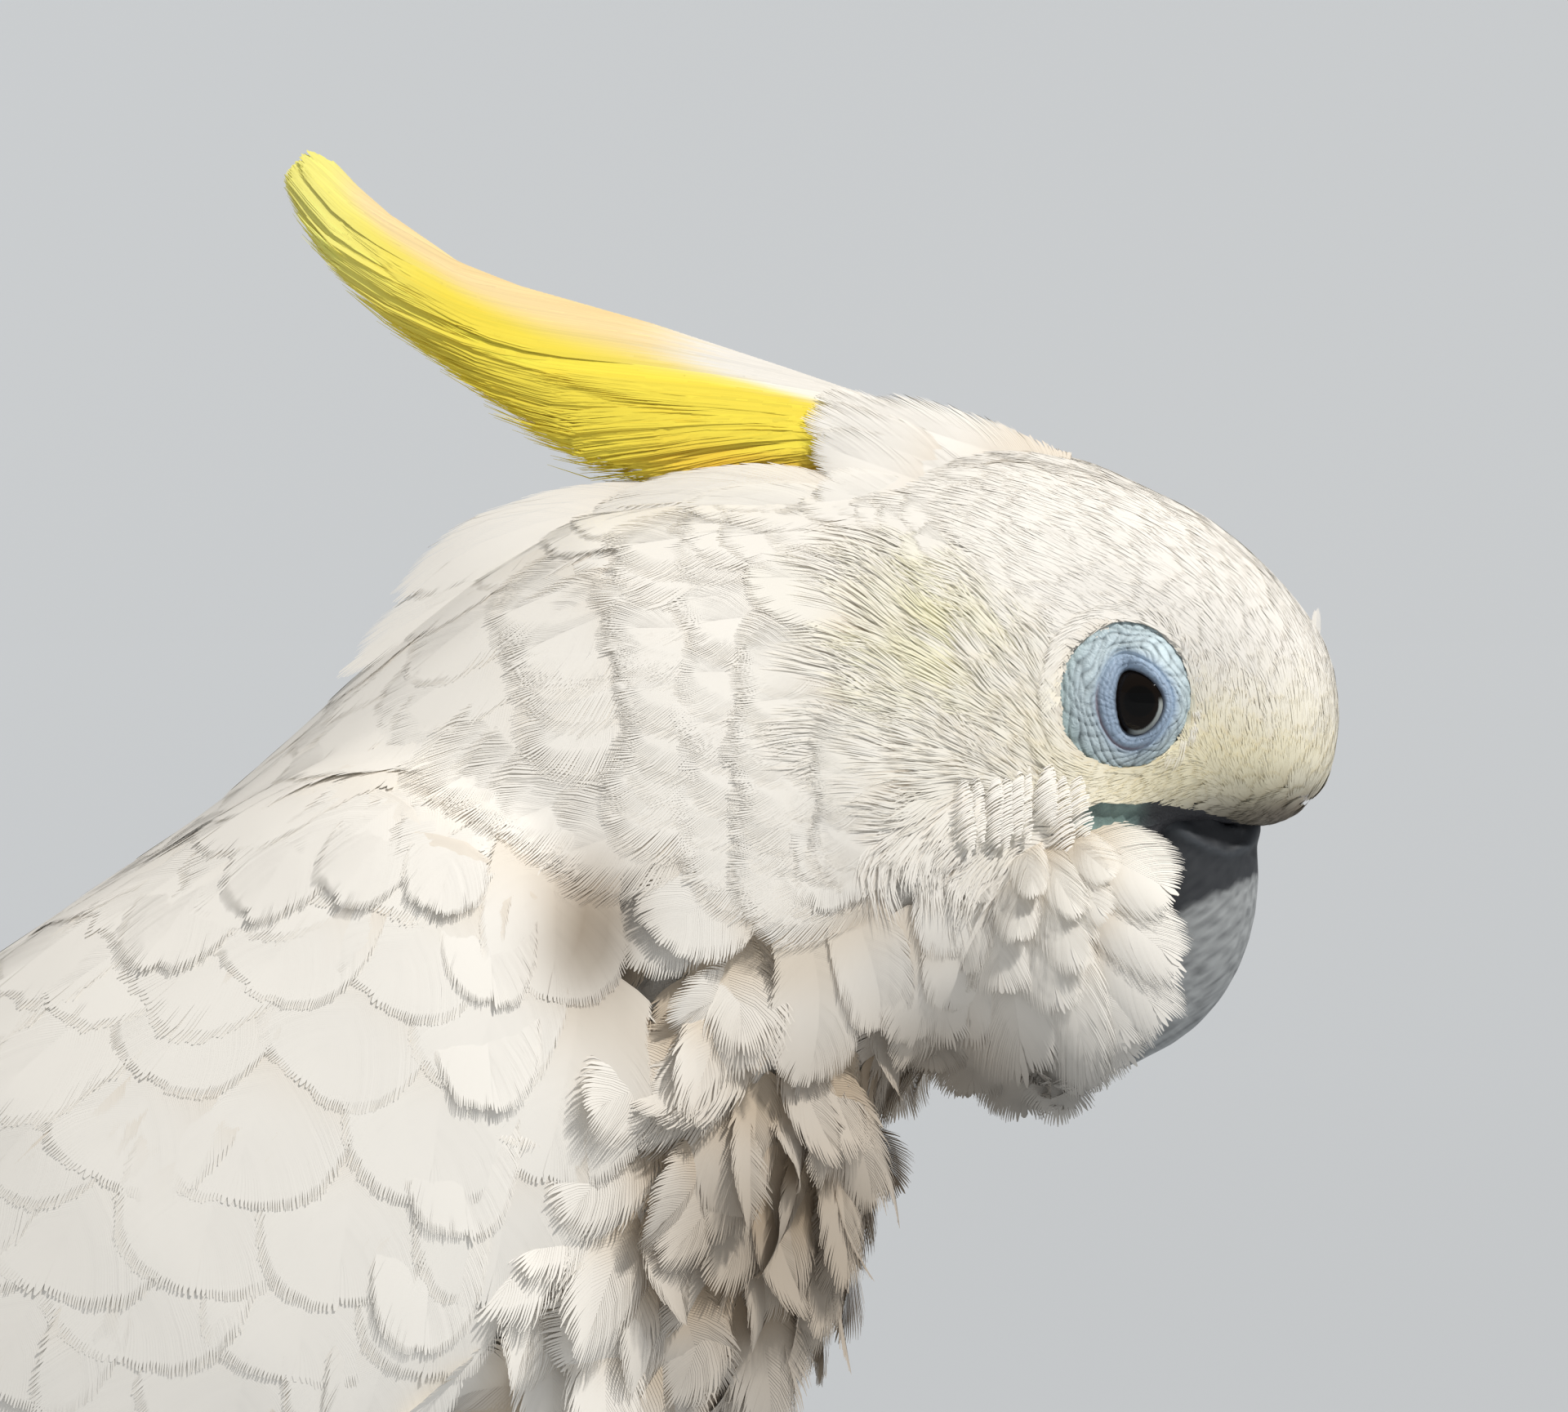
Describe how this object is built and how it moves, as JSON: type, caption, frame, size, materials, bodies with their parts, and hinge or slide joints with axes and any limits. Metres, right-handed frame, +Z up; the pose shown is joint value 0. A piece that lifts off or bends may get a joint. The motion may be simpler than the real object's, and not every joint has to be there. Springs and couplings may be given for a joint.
{
  "type": "sulphur-crested cockatoo",
  "caption": "Still, life-size white cockatoo with a folded yellow crest, pale blue eye rings and a dark tucked bill, standing on its feet and tail tip.",
  "frame": {"origin": "the middle of the bounding box, on the floor", "axes": "the bird faces -Y, +X is its left side and +Z is up"},
  "size_m": [0.11, 0.3721, 0.2874],
  "materials": {
    "feather": "white feather, matt, with a warm cast in shade",
    "crest": "yellow feather, peach along its upper edge and white over its root",
    "skin": "bare pale blue skin with fine wrinkles",
    "bill": "dark grey horn with a dusty bloom and fine scratches",
    "eye": "wet brown-black",
    "scale": "grey scaly skin",
    "claw": "dark horn"
  },
  "bodies": {
    "root": {"head": "feather", "neck": "feather", "trunk": "feather", "crest": "crest", "cheek_left": "feather", "cheek_right": "feather", "bill_upper": "bill", "bill_lower": "bill", "eye_ring_left": "skin", "eye_ring_right": "skin", "eye_left": "eye", "eye_right": "eye", "wing_left": "feather", "wing_right": "feather", "tail": "feather", "thigh_left": "feather", "thigh_right": "feather", "shank_left": "scale", "shank_right": "scale", "foot_left": "scale", "foot_right": "scale", "claw_left_inner_front": "claw", "claw_left_outer_front": "claw", "claw_left_outer_back": "claw", "claw_left_inner_back": "claw", "claw_right_inner_front": "claw", "claw_right_outer_front": "claw", "claw_right_outer_back": "claw", "claw_right_inner_back": "claw"}
  },
  "joints": []
}
